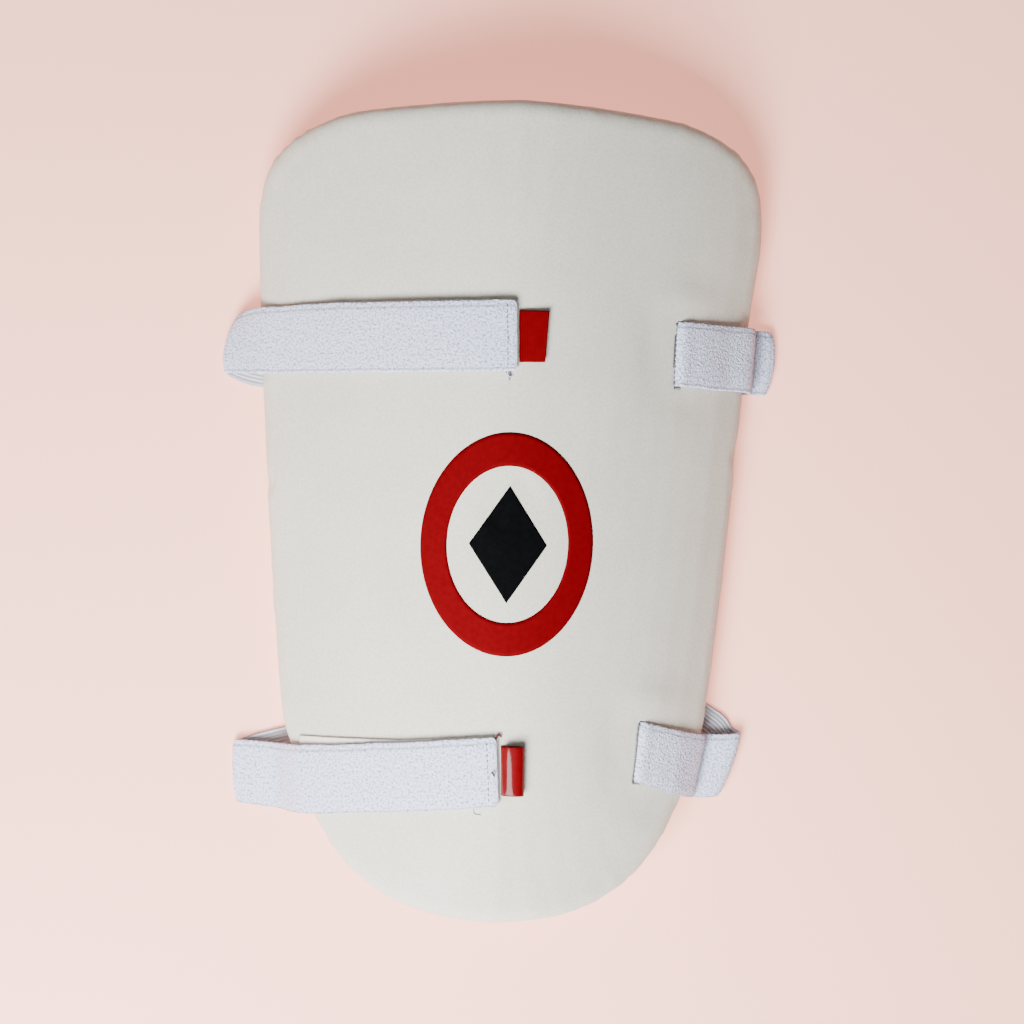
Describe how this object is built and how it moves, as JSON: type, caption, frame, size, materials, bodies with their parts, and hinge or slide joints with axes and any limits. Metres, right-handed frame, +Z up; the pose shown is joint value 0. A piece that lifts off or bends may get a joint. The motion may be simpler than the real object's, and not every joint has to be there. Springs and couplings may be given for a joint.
{
  "type": "cricket thigh guard",
  "caption": "Curved foam thigh pad with a cream fabric facing, rounded wide top and tapered lower end, held by elastic straps with hook tape and pull tabs.",
  "frame": {"origin": "the middle of the underside of the part's box, on the floor", "axes": "+Y runs along the thigh to the wide end, +X is across the thigh to the side of the strap roots, +Z is up from the floor through the crown of the pad"},
  "size_m": [0.2684, 0.3808, 0.0734],
  "materials": {
    "pad_facing": "matte brushed facing over moulded foam",
    "elastic": "woven brushed elastic webbing",
    "hook_tape": "smooth cream hook tape",
    "red_cloth": "matte woven tape",
    "red_gloss": "glossy coated tape",
    "red_print": "satin printed film",
    "black_print": "satin printed film"
  },
  "bodies": {
    "root": {"pad_shell": "pad_facing", "upper_strap": "elastic", "lower_strap": "elastic", "upper_hook_tape": "hook_tape", "lower_hook_tape": "hook_tape", "upper_pull_tab": "red_cloth", "lower_pull_tab": "red_gloss", "emblem_ring": "red_print", "emblem_lozenge": "black_print"}
  },
  "joints": []
}
